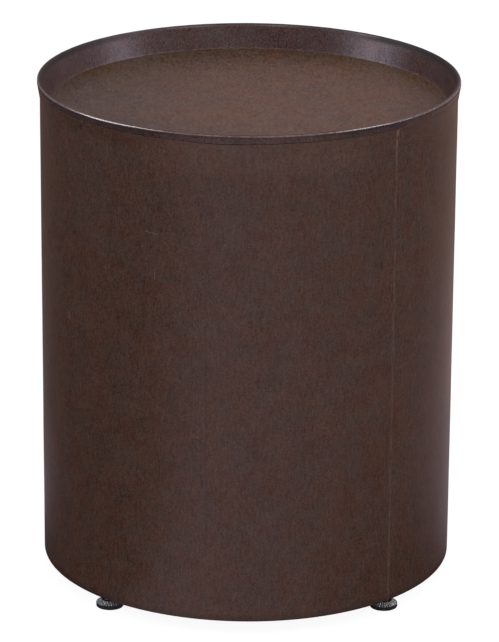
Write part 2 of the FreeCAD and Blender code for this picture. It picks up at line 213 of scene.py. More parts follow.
def set_stops(ramp, stops):
    """Gives a colour ramp these (position, colour) stops."""
    while len(ramp.elements) > 1:
        ramp.elements.remove(ramp.elements[-1])
    for index, (position, colour) in enumerate(stops):
        element = ramp.elements[0] if index == 0 else ramp.elements.new(position)
        element.position = position
        element.color = colour


def shade(red, green, blue):
    """A colour as a screen shows it, 0 to 255, as light."""
    light = []
    for part in (red, green, blue):
        part /= 255
        light.append(part / 12.92 if part <= 0.04045 else ((part + 0.055) / 1.055) ** 2.4)
    return (*light, 1)


def finish_named(name):
    return Recipe(bpy.data.materials.new(name))


# ---- finishes ----

LEATHER_GLOSS = 0.25  # specular level of the wax on the leather
POLISH_ROUGHNESS = 0.16  # of the lip, where hands have polished it
POLISH_INDEX = 2.0  # how strongly the polish mirrors, as an index of refraction
SHADE_AND_MARK_DARK = shade(24, 14, 12)  # painted shade: leather darkened in creases, under the lip, in the open joint and along the drum's foot; also the colour of dark marks
GRAIN_TINT = (1, 0.8, 0.76)  # of the light that the grain's high points add
DARKEST_GRAIN = (0.004, 0.003, 0.002)
JOINT_SHADE = shade(34, 24, 21)  # painted shade: wood darkened behind the leather's joint, where its gap is in shade


def leather(name, warm, cool, rubbed_and_lit, roughness, size, contrast, run=None, marks=(), lit_middle=None):
    """Dyed and waxed leather: fine pebbled grain, strokes that run one way, changes of hue, rubbing,
    painted highlights and painted shade.

    run draws the grain out along one axis; without it only the strokes are, upright.
    The last argument paints a pool of light, the leather paler towards a centre: the centre, two
    distances from it, and a tint.
    """
    recipe = finish_named(name)
    place = recipe.place()
    brushed = recipe.vector("MULTIPLY", place, run or (1, 1, 0.22))
    hues = recipe.noise(place, 24 * size)
    patches = recipe.noise(recipe.vector("ADD", place, (3.1, 1.7, 0.4)), 8 * size)
    shades = recipe.noise(recipe.vector("ADD", place, (5.3, 2.9, 1.1)), 22 * MM, 2, 0.6)
    mottle = recipe.noise(place, 5 * size, 3, 0.6)
    strokes = recipe.noise(brushed, 1.9 * size)
    pebble = recipe.cells(place, 2.0 * size, "SMOOTH_F1")
    pores = recipe.noise(brushed if run else place, 1.3 * size, 2, 0.65)
    worn_and_lit = recipe.attribute("wear")
    painted_shade = recipe.attribute("painted_shade")

    colour = recipe.mix(recipe.between(0.68 * hues + 0.32 * patches, 0.4, 0.6), warm, cool)
    # painted pool of light: paler towards a centre
    if lit_middle:
        centre, near, far, pale = lit_middle
        away = recipe.vector("DISTANCE", place, centre, "Value")
        colour = recipe.mix(recipe.between(away, near, far, 1.0, 0.0), colour, pale, "MULTIPLY")
    fine = 1.5 * (pores - 0.5) + 0.85 * (strokes - 0.5) + 0.6 * (0.45 - pebble)
    fine = contrast * (fine + 0.1 * (mottle - 0.5) + 0.4 * (shades - 0.5))
    colour = recipe.vector("ADD", colour, recipe.scaled(GRAIN_TINT, fine))
    colour = recipe.vector("MAXIMUM", colour, DARKEST_GRAIN)
    # rubbing and painted highlights lighten the leather where the mesh carries them
    colour = recipe.mix(worn_and_lit * recipe.between(mottle, 0.3, 0.6, 0.3, 1.0), colour, rubbed_and_lit)
    # painted shade: darkens the leather where the mesh carries it
    colour = recipe.mix(painted_shade, colour, SHADE_AND_MARK_DARK)
    for *ends, width, strength in marks:
        line = recipe.stroke(place, on_drum(*ends[:2]), on_drum(*ends[2:]), width * MM)
        colour = recipe.mix(line * abs(strength), colour, rubbed_and_lit if strength > 0 else SHADE_AND_MARK_DARK)

    relief = 0.4 * pebble + 0.22 * mottle + 0.38 * pores
    dull = roughness + 0.1 * (mottle - 0.5) + 0.2 * (pores - 0.5) + 0.3 * painted_shade
    return recipe.surface(
        colour, dull, relief, 0.16 * size, Specular_IOR_Level=LEATHER_GLOSS,
        Coat_Weight=recipe.attribute("polish"), Coat_Roughness=POLISH_ROUGHNESS, Coat_IOR=POLISH_INDEX,
    )


def on_drum(degrees, height):
    """The point of the drum's side at this angle and this height in millimetres."""
    return polar(DRUM_RADIUS, math.radians(degrees), height * MM)


# scuffs, scratches and nicks: start and end as angle and height, half width in millimetres,
# and strength, above 0 for a light mark and below 0 for a dark one
SIDE_MARKS = [
    (-118.9, 443.2, -115.3, 442.0, 0.9, 0.35), (-119.8, 427.3, -119.6, 425.5, 1.0, 0.3),
    (-116.0, 400.0, -116.1, 392.3, 0.9, 0.35), (-147.9, 327.1, -147.9, 320.3, 1.1, 0.35),
    (-131.0, 470.4, -130.8, 468.9, 1.0, 0.4), (-124.7, 305.4, -124.6, 303.5, 1.0, 0.35),
    (-51.4, 303.2, -51.3, 301.0, 1.0, 0.35), (-23.4, 43.7, -23.2, 41.0, 1.2, 0.3),
    (-117.6, 540.2, -117.4, 538.6, 1.0, 0.35), (-104.4, 542.7, -104.4, 523.5, 0.7, 0.2),
    (-113.2, 533.9, -113.0, 532.0, 1.0, 0.35), (-147.1, 460.9, -147.0, 458.5, 1.1, 0.35),
    (-94.8, 39.0, -94.6, 37.5, 1.4, -0.6), (-23.3, 419.8, -23.1, 417.0, 1.0, -0.6),
    (-26.1, 391.6, -26.0, 389.0, 1.0, -0.6), (-101.7, 479.0, -101.4, 83.0, 1.0, -0.22),
    (-119.4, 389.0, -119.4, 323.0, 4.5, -0.14),
]


def plywood(name, across):
    """Birch plywood: plies in two tones across its thickness, long grain on its faces."""
    recipe = finish_named(name)
    place = recipe.place()
    x, y, z = recipe.parts(place)
    depth = (x * x + y * y) ** 0.5 if across == "radius" else z
    ply = 1.4 * MM
    waver = recipe.noise(place, 18 * MM) * 0.25
    plies = depth.maths("PINGPONG", depth / ply + waver, 1)
    grain = recipe.noise(place, 1.6 * MM, 3, 0.6, (1, 0.06, 1))
    figure = recipe.noise(place, 22 * MM, 3, drawn=(1, 0.12, 1))
    colour = recipe.mix(recipe.between(plies, 0.35, 0.65), shade(214, 184, 143), shade(188, 153, 110))
    colour = recipe.mix(figure * 0.5, colour, shade(201, 164, 117))
    colour = recipe.mix(1.0, colour, 0.86 + 0.28 * grain, "MULTIPLY")
    return recipe.surface(colour, 0.6 + 0.15 * grain, grain, 0.12 * MM, Specular_IOR_Level=0.3)


def timber(name, pale, dark, drawn, shaded_between=None):
    """Solid wood with its grain along one axis, darkened between two heights as painted shade."""
    recipe = finish_named(name)
    place = recipe.place()
    rings = recipe.noise(place, 9 * MM, 3, 0.55, drawn)
    grain = recipe.noise(place, 1.2 * MM, 3, 0.6, drawn)
    colour = recipe.mix(recipe.between(rings, 0.3, 0.7), pale, dark)
    colour = recipe.mix(1.0, colour, 0.84 + 0.3 * grain, "MULTIPLY")
    if shaded_between:
        low, high = shaded_between
        height = recipe.parts(place)[2]
        band = recipe.between(height, low - MM, low) * recipe.between(height, high, high + MM, 1, 0)
        colour = recipe.mix(band, colour, JOINT_SHADE)
    return recipe.surface(colour, 0.58 + 0.15 * grain, grain, 0.15 * MM, Specular_IOR_Level=0.3)


def cloth(name):
    """Black spun-bonded cloth: a dimpled grid of bonds over fine loose fibres."""
    recipe = finish_named(name)
    place = recipe.place()
    bonds = recipe.cells(place, 2.2 * MM, "F1", 0.15)
    fibres = recipe.noise(place, 0.8 * MM, 4, 0.7)
    dimple = recipe.between(bonds, 0.12, 0.3)
    colour = recipe.mix(fibres, shade(24, 24, 26), shade(44, 43, 45))
    colour = recipe.mix(dimple, shade(18, 18, 19), colour)
    relief = 0.6 * dimple + 0.4 * fibres
    return recipe.surface(colour, 0.82 + 0.12 * fibres, relief, 0.2 * MM, Specular_IOR_Level=0.25)


def zinc(name):
    """Bright zinc plate with fine turning marks and a dull bloom."""
    recipe = finish_named(name)
    place = recipe.place()
    turning = recipe.noise(place, 0.35 * MM, drawn=(0.15, 0.15, 1))
    bloom = recipe.noise(place, 3.5 * MM, 3, 0.6)
    colour = recipe.mix(bloom, shade(188, 190, 194), shade(150, 151, 152))
    return recipe.surface(colour, 0.22 + 0.22 * bloom, turning, 0.02 * MM, Metallic=1)


def nylon(name):
    """Black moulded nylon: satin, faintly textured, with a painted sheen of pale specks on its cone and
    ribs.
    """
    recipe = finish_named(name)
    place = recipe.place()
    texture = recipe.noise(place, 0.5 * MM)
    specks = recipe.noise(place, 1.5 * MM, 3, 0.7)
    bloom = recipe.noise(place, 5 * MM, 3, 0.6)
    # painted sheen: pale specks where the mesh carries it, on the cone and the ribs
    painted_sheen = recipe.attribute("wear") * recipe.between(specks, 0.42, 0.6, 0.15, 1.0)
    colour = recipe.mix(bloom, shade(13, 13, 15), shade(23, 23, 26))
    colour = recipe.mix(painted_sheen, colour, shade(214, 210, 216))
    return recipe.surface(colour, 0.42 + 0.16 * bloom, texture, 0.03 * MM, Specular_IOR_Level=0.2)


# ---- meshes ----


def new_mesh(name, points, faces):
    mesh = bpy.data.meshes.new(name)
    mesh.from_pydata(points, [], faces)
    return mesh


def put(name, data):
    """A new object in the scene, from a mesh, a lamp or a lens."""
    made = bpy.data.objects.new(name, data)
    bpy.context.scene.collection.objects.link(made)
    return made


def new_piece(name, points, faces, body, slot, finish, crease=40, **carried):
    """A smooth piece that rides on a body and carries values at its points for its finish."""
    mesh = new_mesh(name, points, faces)
    mesh.polygons.foreach_set("use_smooth", [True] * len(mesh.polygons))
    mesh.validate()
    mesh.update()
    mesh.set_sharp_from_angle(angle=math.radians(crease))
    mesh.materials.append(finish)
    for look, values in carried.items():
        mesh.attributes.new(look, "FLOAT", "POINT").data.foreach_set("value", values)
    piece = put(name, mesh)
    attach(piece, body)
    return piece


def grid_faces(rows, columns, ring=True, around=True):
    """Faces of a grid of points, rows joined last to first, columns joined round the object."""
    faces = []
    for row in range(rows if ring else rows - 1):
        upper = row * columns
        lower = (row + 1) % rows * columns
        for column in range(columns if around else columns - 1):
            beside = (column + 1) % columns
            faces.append((upper + column, lower + column, lower + beside, upper + beside))
    return faces


def tube_faces(first, rows, sides):
    """Faces of a closed tube whose rings of points start at this index."""
    faces = []
    for row in range(rows - 1):
        here = first + row * sides
        there = here + sides
        for side in range(sides):
            beside = (side + 1) % sides
            faces.append((here + side, here + beside, there + beside, there + side))
    last = first + (rows - 1) * sides
    faces.append(list(range(first, first + sides))[::-1])
    faces.append(list(range(last, last + sides)))
    return faces


def close_disc(points, faces, row, columns, height, flip):
    """Closes the ring of points in this row with a fan of faces round a point in its middle."""
    middle = len(points)
    points.append((0, 0, height))
    for column in range(columns):
        corners = (middle, row * columns + column, row * columns + (column + 1) % columns)
        faces.append(corners[::-1] if flip else corners)


def turns(count):
    """Angles evenly round a whole turn."""
    return [TURN * index / count for index in range(count)]


def polar(radius, angle, height):
    return Vector((radius * math.cos(angle), radius * math.sin(angle), height))


def rough(angle, height, size, seed, radius=DRUM_RADIUS):
    """Smooth unevenness from -1 to 1 over the drum's surface, its features about this size."""
    return noise.noise(polar(radius, angle, height) / size + Vector((seed, 0, 0)))


def clamp(value, low=0.0, high=1.0):
    return max(low, min(high, value))


def ease(value, low, high):
    """0 below low, 1 above high, smooth between."""
    part = clamp((value - low) / (high - low))
    return part * part * (3 - 2 * part)


def fade(value, low, high):
    """1 below low, 0 above high, smooth between."""
    return 1 - ease(value, low, high)


def rounded_corner(before, corner, after, radius, steps=6):
    """Points of the arc that rounds one corner of a (radius, height) line."""
    before, corner, after = Vector(before), Vector(corner), Vector(after)
    back, on = (before - corner).normalized(), (after - corner).normalized()
    half = back.angle(on) / 2
    centre = corner + (back + on).normalized() * radius / math.sin(half)
    start = corner + back * radius / math.tan(half) - centre
    end = corner + on * radius / math.tan(half) - centre
    first = math.atan2(start.y, start.x)
    sweep = (math.atan2(end.y, end.x) - first + math.pi) % TURN - math.pi
    angles = [first + sweep * step / steps for step in range(steps + 1)]
    return [centre + radius * Vector((math.cos(angle), math.sin(angle))) for angle in angles]


def extend(line, corners, step):
    """Takes the line on through these corners, its points no further apart than a step."""
    for corner in corners:
        start, end = line[-1], Vector(corner)
        count = max(1, math.ceil((end - start).length / step - 1e-6))
        line += [start.lerp(end, index / count) for index in range(1, count + 1)]


def ways(line):
    """The way that the line runs at each of its points."""
    befores = line[:1] + line[:-1]
    afters = line[1:] + line[-1:]
    return [(after - before).normalized() for before, after in zip(befores, afters)]


def moved_right(line, distance):
    """The line moved sideways, to the right as it runs."""
    return [point + Vector((way.y, -way.x)) * distance for point, way in zip(line, ways(line))]


def sheet_section(line, thickness):
    """The closed outline of a sheet whose face is this line, its cut ends slightly rounded."""
    back = moved_right(line, thickness)
    tip = 0.25 * thickness
    start = line[0].lerp(back[0], 0.5)
    end = line[-1].lerp(back[-1], 0.5)
    for side in (line, back):
        for last, beside in ((0, 1), (-1, -2)):
            side[last] = side[last] + (side[beside] - side[last]).normalized() * tip
    return line + [end] + back[::-1] + [start]


# ---- the joint between the side and the rim's outer band ----


# by degrees round the joint: how far it stands open, and how far it dips in millimetres
JOINT_LOOKS = {
    -180: (0, 0), -112: (0, 0), -106: (0.12, 0.1), -101: (0.15, 0.6), -100: (0.4, 0.7), -97: (0.35, 0.8),
    -96: (0.25, 0.8), -95: (0.6, 0.8), -92: (0.6, 0.8), -91: (0.1, 0.7), -84: (0.1, 0.4), -78: (0.18, 0),
    -72: (0.22, 0), -66: (0.15, 0), -58: (0.1, 0), -48: (0.06, 0), -44: (0, 0), 180: (0, 0),
}


def read_round(table, angle):
    """The table's values at this angle, from the two nearest of its degrees."""
    degrees = (math.degrees(angle) + 180) % 360 - 180
    before = max(key for key in table if key <= degrees)
    after = min(key for key in table if key > degrees)
    part = (degrees - before) / (after - before)
    return [start + part * (end - start) for start, end in zip(table[before], table[after])]


def joint_height(angle):
    """Where the rim's band ends and the side's leather starts; cut by hand, so it wavers."""
    slow = 0.45 * rough(angle, 0, 55 * MM, 4)
    quick = 0.22 * rough(angle, 0, 13 * MM, 9)
    return BAND_EDGE + (slow + quick - read_round(JOINT_LOOKS, angle)[1]) * MM


def joint_open(angle):
    """1 where the joint stands open, 0 where its edges meet."""
    return read_round(JOINT_LOOKS, angle)[0] * (0.8 + 0.2 * rough(angle, 0, 11 * MM, 17))


def joint_gap(angle):
    """Half the gap between the band and the side."""
    return (0.03 + 0.38 * joint_open(angle)) * MM


# ---- leather ----


# heights between which the seam's rubbing comes in towards the top and the foot, and between
# which a painted sheen lightens the leather under the rim
TOP_WEAR = (0.48, 0.54)
FOOT_WEAR = (0.02, 0.2)
RIM_SHEEN = (0.502, 0.524)


def seam_wear(height):
    """How much the seam's edges are lightened by rubbing: most at the top, least half way up."""
    return 0.34 + 0.45 * ease(height, *TOP_WEAR) + 0.1 * fade(height, *FOOT_WEAR)


def front_sheen_under_rim(angle):
    """1 round the front, where a painted sheen lightens the leather under the rim."""
    degrees = math.degrees(angle) % 360 - 360
    return ease(degrees, -128, -112) * fade(degrees, -66, -50)


def off_stems(radius, angle):
    """0 beside the feet's stems, where the leather lies flat, and 1 from some way off."""
    spot = polar(radius, angle, 0)
    stems = [polar(FOOT_CIRCLE, math.radians(degrees), 0) for degrees in CORNERS.values()]
    return ease(min((spot - stem).length for stem in stems), 9 * MM, 15 * MM)


def make_side_leather(finish):
    """The sheet round the drum, butted at the seam and turned under at the bottom."""
    lower = rounded_corner(
        (DRUM_RADIUS, FLARE_START), (DRUM_RADIUS, DRUM_FOOT), (HEM_RADIUS, DRUM_FOOT), FOOT_ROUND
    )
    top_edge, flare_foot = Vector((BAND_RADIUS, BAND_EDGE)), Vector((DRUM_RADIUS, FLARE_START))
    below_joint = [0, 0.5, 1.1, 1.8, 2.6, 3.6, 5.0, 7.0, 9.5]
    flare = (flare_foot - top_edge).length
    line = [top_edge.lerp(flare_foot, part * MM / flare) for part in below_joint] + [flare_foot]
    extend(line, lower, 8 * MM)
    extend(line, [(HEM_RADIUS, DRUM_FOOT)], 4 * MM)
    section = sheet_section(line, LEATHER)
    count = len(line)

    beside_seam = [0, 0.12, 0.3, 0.6, 1.1, 1.8, 2.8, 4.2]
    even = beside_seam[-1] * MM / DRUM_RADIUS
    steps = 360
    angles = [part * MM / DRUM_RADIUS for part in beside_seam[:-1]]
    angles += [even + (TURN - 2 * even) * step / steps for step in range(steps + 1)]
    angles += [TURN - part * MM / DRUM_RADIUS for part in beside_seam[-2::-1]]

    points, wear, painted_shade = [], [], []
    for row, (radius, height) in enumerate(section):
        outside = row < count
        hem = outside and radius < DRUM_RADIUS - FOOT_ROUND
        depth = BAND_EDGE - height
        top_row = ease(height, FLARE_START, BAND_EDGE)
        for angle in angles:
            turned = SEAM_ANGLE + angle
            arc = min(angle, TURN - angle) * DRUM_RADIUS
            back = SEAM_GAP / 2 + SEAM_SPREAD * ease(height, BAND_EDGE - 17 * MM, BAND_EDGE)
            side = 1 if angle < math.pi else -1
            turned += side * fade(arc, 0, 12 * MM) * back / DRUM_RADIUS
            out = up = lightening = dark = 0.0
            if outside and not hem:
                out += 0.16 * rough(turned, height, 60 * MM, 2)
                out += 0.05 * rough(turned, height * 0.5, 18 * MM, 6)
                out += 0.16 * ease(arc, 0, 1.2 * MM) * fade(arc, 1.2 * MM, 6 * MM)
                out -= 0.5 * fade(arc, 0, 0.45 * MM)
                rubbed_and_lit = 0.6 + 0.4 * clamp(rough(turned, height, 9 * MM, 21) + 0.5)
                lightening = fade(arc, 0.5 * MM, 1.8 * MM) * seam_wear(height) * rubbed_and_lit
                # painted sheen under the rim round the front
                lightening += 0.13 * front_sheen_under_rim(turned) * ease(height, *RIM_SHEEN)
                opened = joint_open(turned)
                # painted highlight: the side's edge just below an open joint is lightened
                lit = ease(depth, 0.3 * MM, 0.9 * MM) * fade(depth, 1.6 * MM, 3.4 * MM)
                lightening = max(lightening, 0.42 * opened * lit)
                # painted shade: darker in an open joint and along the drum's turned-under foot
                dark = 0.9 * opened * fade(depth, 0.2 * MM, 0.9 * MM)
                dark = max(dark, 0.5 * fade(height, DRUM_FOOT + 0.6 * MM, DRUM_FOOT + 3.4 * MM))
            if hem:
                room = ease(radius, COVER_RADIUS, COVER_RADIUS + 8 * MM) * off_stems(radius, turned)
                pleat = abs(rough(turned, 0, 14 * MM, 31, FOOT_CIRCLE))
                up -= 0.9 * pleat * room * ease(DRUM_RADIUS - radius, 0, 5 * MM)
            shift = joint_height(turned) - BAND_EDGE - joint_gap(turned)
            points.append(polar(radius + out * MM, turned, height + top_row * shift + up * MM))
            wear.append(lightening)
            painted_shade.append(dark)
    columns = len(angles)
    faces = grid_faces(len(section), columns, around=False)
    for column, flip in ((0, False), (columns - 1, True)):
        caps = [(row, row + 1, 2 * count - row - 1, 2 * count - row) for row in range(count - 1)]
        caps += [(0, 2 * count, 2 * count + 1), (count - 1, count, count + 1)]
        for cap in caps:
            corners = [row * columns + column for row in cap]
            faces.append(corners if flip else corners[::-1])
    looks = {"wear": wear, "painted_shade": painted_shade}
    piece = new_piece("side_leather", points, faces, "drum", "side_leather", finish, **looks)
    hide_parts("side_wrap")
    cut_stem_holes(piece)


def cut_stem_holes(piece):
    """The holes in the turned-under leather that the feet's stems pass."""
    points, faces = [], []
    sides = 32
    for angle in CORNERS.values():
        middle = polar(FOOT_CIRCLE, math.radians(angle), 0)
        first = len(points)
        for height in (DRUM_FOOT - 4 * MM, DRUM_FOOT + 4 * MM):
            points += [middle + polar(STEM_HOLE, turn, height) for turn in turns(sides)]
        faces += tube_faces(first, 2, sides)
    cutter = put("stem_holes", new_mesh("stem_holes", points, faces))
    cut = piece.modifiers.new("stem_holes", "BOOLEAN")
    cut.operation = "DIFFERENCE"
    cut.solver = "EXACT"
    cut.object = cutter
    apply_modifiers(piece)
    bpy.data.objects.remove(cutter)


def apply_modifiers(piece):
    """Keeps what the modifiers make, and drops the modifiers."""
    bpy.context.view_layer.update()
    shown = piece.evaluated_get(bpy.context.evaluated_depsgraph_get())
    mesh = bpy.data.meshes.new_from_object(shown)
    piece.modifiers.clear()
    piece.data = mesh


# by degrees round the lip: how much a painted highlight lightens its top, how polished its top and its
# inner corner are, and how much painted shade darkens the leather just under it, outside and inside
LIP_LOOKS = {
    -180: (0.4, 0.1, 0, 0.4, 0.7), -160: (0.45, 0.1, 0, 0.6, 0.6), -150: (0.5, 0.15, 0, 0.9, 0.1),
    -143: (0.55, 0.6, 0, 1, 0), -137: (0.6, 0.8, 0, 1, 0), -129: (0.6, 0.65, 0, 1, 0.1),
    -124: (0.65, 1, 0, 1, 0.35), -118: (0.65, 0.8, 0, 0.9, 0.7), -112: (0.7, 0.3, 0, 0.5, 0.8),
    -90: (0.65, 0.1, 0, 0.4, 0.8), -68: (0.6, 0.15, 0, 0.5, 0.6), -62: (0.6, 0.85, 0, 1, 0.2),
    -55: (0.6, 0.7, 0, 1, 0), -49: (0.45, 0.05, 0, 1, 0), -44: (0.5, 0.1, 0, 0.7, 0),
    -25: (0.5, 0.05, 0, 0.3, 0.1), 0: (0.5, 0.05, 0, 0.3, 0.6), 20: (0.3, 0, 0, 0.3, 0.8),
    30: (0.1, 0, 0, 0.4, 0.95), 48: (0, 0, 0, 0.5, 0.9), 56: (0.1, 0.1, 0.1, 0.4, 0.3),
    66: (0.15, 0, 0.25, 0.4, 0.1), 75: (0, 0, 0.3, 0.4, 0), 81: (0, 0, 1, 0.4, 0),
    88: (0, 0, 0.5, 0.4, 0), 97: (0, 0, 0.2, 0.4, 0), 104: (0, 0, 0.9, 0.4, 0),
    112: (0, 0, 0.8, 0.4, 0), 118: (0.05, 0, 0.15, 0.4, 0.1), 124: (0.05, 0, 0, 0.4, 0.2),
    133: (0, 0, 0, 0.4, 0.5), 150: (0, 0, 0, 0.4, 0.8), 165: (0.1, 0, 0, 0.4, 0.7),
    180: (0.4, 0.1, 0, 0.4, 0.6),
}


def make_rim_leather(finish):
    """The strip that lines the tray's wall, goes over the lip and ends in the outer band."""
    foot = (WALL_END, PANEL_TOP)
    inner = (RIM_RADIUS - LIP_WIDTH, LIP_TOP)
    outer = (RIM_RADIUS, LIP_TOP)
    side = (RIM_RADIUS, LIP_TOP - LIP_SIDE)
    edge = (BAND_RADIUS, BAND_EDGE)
    over_inner = rounded_corner(foot, inner, outer, LIP_INNER_ROUND, 8)
    over_outer = rounded_corner(inner, outer, side, LIP_OUTER_ROUND, 8)
    line = [Vector(foot)]
    extend(line, over_inner[:1], MM)
    line += over_inner[1:]
    extend(line, over_outer, 0.5 * MM)
    extend(line, [side, edge], 0.75 * MM)
    section = sheet_section(line, LEATHER)
    count = len(line)
    columns = 720

    points, wear, painted_shade, polish = [], [], [], []
    for row, (radius, height) in enumerate(section):
        face = row < count
        inside = radius < RIM_RADIUS - LIP_WIDTH / 2
        depth = (LIP_TOP - height) / MM
        across = (radius - RIM_RADIUS + LIP_WIDTH) / MM
        low = 0 if inside else fade(height, BAND_EDGE, LIP_TOP - LIP_SIDE)
        for angle in turns(columns):
            worn_and_lit, shiny_top, shiny_inside, shade_under_lip, shade_inside_lip = read_round(LIP_LOOKS, angle)
            out = up = lightening = dark = shine = 0.0
            if face and inside:
                near_foot = fade(height, TRAY_TOP, TRAY_TOP + 12 * MM)
                pucker = rough(angle, 0, 5.5 * MM, 41) * clamp(rough(angle, 0, 45 * MM, 43) + 0.45)
                out += 0.3 * near_foot * pucker
                out += 0.06 * rough(angle, height, 16 * MM, 45)
                at_foot = fade(height, TRAY_TOP, TRAY_TOP + 1.2 * MM)
                lightening = at_foot * (0.15 + 0.35 * clamp(rough(angle, 0, 8 * MM, 57) + 0.4))
                # painted shade on the wall just below the lip
                dark = shade_inside_lip * ease(depth, 0.3, 1.0) * fade(depth, 3, 8)
                shine = shiny_inside * ease(depth, 0.5, 0.9) * fade(depth, 1.8, 2.8)
            if face and not inside:
                out -= 0.08 + 0.08 * rough(angle, height, 20 * MM, 47)
                opened = joint_open(angle)
                # painted highlight on the band's lower edge where the joint opens, and painted shade in
                # the gap beside it
                lightening = 0.6 * fade(height, BAND_EDGE, BAND_EDGE + 1.4 * MM)
                lightening *= opened * (0.3 + 0.7 * clamp(rough(angle, 0, 22 * MM, 53) + 0.5))
                dark = 0.75 * opened * fade(height, BAND_EDGE + 0.2 * MM, BAND_EDGE + 0.8 * MM)
                # painted shade under the lip, outside
                under_lip_shade = 0.6 * fade(depth, 2.7, 4.2) + 0.4 * fade(depth, 7, 10)
                dark = max(dark, shade_under_lip * under_lip_shade * ease(depth, 1.1, 1.7))
            if face:
                dent = 0.1 + 0.1 * rough(angle, 0, 14 * MM, 49) + 0.05 * rough(angle, 0, 5 * MM, 51)
                up -= ease(height, LIP_TOP - 5 * MM, LIP_TOP) * dent
                # painted shade along the lip's inner edge
                inner_edge = fade(across, 2.0, 2.8) * fade(depth, 0.3, 1.0)
                dark = max(dark, shade_inside_lip * inner_edge)
                # painted highlight: a light line along the lip's top
                top = ease(across, 2.2, 2.9) * fade(depth, 0.7, 1.3)
                lightening = max(lightening, top * worn_and_lit * (1 + 0.4 * rough(angle, 0, 9 * MM, 55)))
                shine = max(shine, shiny_top * top)
            shift = joint_height(angle) - BAND_EDGE + joint_gap(angle)
            points.append(polar(radius + out * MM, angle, height + up * MM + low * shift))
            wear.append(lightening)
            painted_shade.append(dark)
            polish.append(shine)
    faces = grid_faces(len(section), columns)
    looks = {"wear": wear, "painted_shade": painted_shade, "polish": polish}
    piece = new_piece("rim_leather", points, faces, "drum", "rim_leather", finish, **looks)
    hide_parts("rim_wrap")


def make_tray_disc(finish):
    """The disc on the tray's floor, laid nearly flat; the piece is given back for the lamps."""
    rings = 44
    columns = 300
    round_over = 0.3 * MM
    radii = [TRAY_RADIUS * (ring / rings) ** 0.8 for ring in range(1, rings + 1)]
    rim = [(TRAY_RADIUS, TRAY_TOP - round_over), (TRAY_RADIUS, PANEL_TOP)]
    section = [(radius, TRAY_TOP) for radius in radii[:-1]]
    section += [(TRAY_RADIUS - 2 * round_over, TRAY_TOP), (TRAY_RADIUS - 0.1 * MM, TRAY_TOP - 0.1 * MM)]
    section += rim + [(TRAY_RADIUS / 2, PANEL_TOP), (radii[0], PANEL_TOP)]
    points, wear = [], []
    for radius, height in section:
        top = height > TRAY_TOP - round_over / 2
        for angle in turns(columns):
            low = 0.0
            if top:
                low = 0.07 + 0.07 * rough(angle, 0, 70 * MM, 61, radius)
                low += 0.02 + 0.02 * rough(angle, 0, 22 * MM, 63, radius)
            edge = ease(radius, TRAY_RADIUS - 1.4 * MM, TRAY_RADIUS - 0.4 * MM) if top else 0
            points.append(polar(radius, angle, height - low * MM))
            wear.append(0.4 * edge)
    faces = grid_faces(len(section), columns, ring=False)
    close_disc(points, faces, 0, columns, TRAY_TOP - 0.09 * MM, False)
    close_disc(points, faces, len(section) - 1, columns, PANEL_TOP, True)
    wear += [0.0, 0.0]
    piece = new_piece("tray_floor_leather", points, faces, "drum", "tray_leather", finish, wear=wear)
    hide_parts("tray_leather")
    return piece


# ---- dust cover and staples ----


def make_dust_cloth(finish):
    """The cloth under the drum: pulled tight at its staples, sagging a little between."""
    columns = STAPLE_COUNT * 8
    radii = [COVER_RADIUS * (ring / 30) ** 0.75 for ring in range(1, 31)]
    thickness = (COVER_TOP - COVER_BOTTOM) * 0.6
    creases_start, creases_fade = 0.13, 0.19  # metres from the middle
    section = [(radius, 0.0) for radius in radii] + [(radius, thickness) for radius in radii[::-1]]
    points = []
    for radius, depth in section:
        for angle in turns(columns):
            inside = fade(radius, 0, STAPLE_CIRCLE)
            pull = 0.5 - 0.5 * math.cos(angle * STAPLE_COUNT)
            crease = pull * ease(radius, creases_start, STAPLE_CIRCLE)
            crease *= fade(radius, creases_fade, COVER_RADIUS)
            sag = COVER_SAG * inside + 0.55 * crease + 0.25 * rough(angle, 0, 45 * MM, 71, radius)
            height = COVER_TOP - thickness - clamp(sag, 0, 4) * MM
            points.append(polar(radius, angle, height + depth))
    faces = [face[::-1] for face in grid_faces(len(section), columns, ring=False)]
    lowest = COVER_TOP - thickness - COVER_SAG * MM
    close_disc(points, faces, 0, columns, lowest, True)
    close_disc(points, faces, len(section) - 1, columns, lowest + thickness, False)
    piece = new_piece("dust_cover_cloth", points, faces, "drum", "dust_cloth", finish)
    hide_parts("dust_cover")


def tube(path, radius, sides, points, faces):
    """Adds a closed round tube along the path to the points and faces."""
    first = len(points)
    across = ways(path)[0].orthogonal().normalized()
    for point, along in zip(path, ways(path)):
        across = (across - along * across.dot(along)).normalized()
        other = along.cross(across)
        for turn in turns(sides):
            points.append(point + radius * (math.cos(turn) * across + math.sin(turn) * other))
    faces += tube_faces(first, len(path), sides)


def make_staples(finish):
    """The staples as bent wire, their crowns against the cloth."""
    points, faces = [], []
    wire = STAPLE_WIRE / 2
    half = STAPLE_CROWN / 2 - wire
    crown = STAPLE_BOTTOM + wire
    corner = 0.9 * MM
    outline = [Vector((-half, STAPLE_TOP))]
    outline += rounded_corner((-half, STAPLE_TOP), (-half, crown), (0, crown), corner, 4)
    outline += rounded_corner((0, crown), (half, crown), (half, STAPLE_TOP), corner, 4)
    outline += [Vector((half, STAPLE_TOP))]
    for angle in turns(STAPLE_COUNT):
        middle = polar(STAPLE_CIRCLE, angle, 0)
        across = Vector((-math.sin(angle), math.cos(angle), 0))
        path = [middle + across * along + Vector((0, 0, height)) for along, height in outline]
        tube(path, wire, 10, points, faces)
    piece = new_piece("dust_cover_wire_staples", points, faces, "drum", "zinc_steel", finish)
    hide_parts("dust_cover_staples")


# ---- levelling feet ----

PAD_RIBS = 30
FLUTE_DEPTH = 0.6 * MM
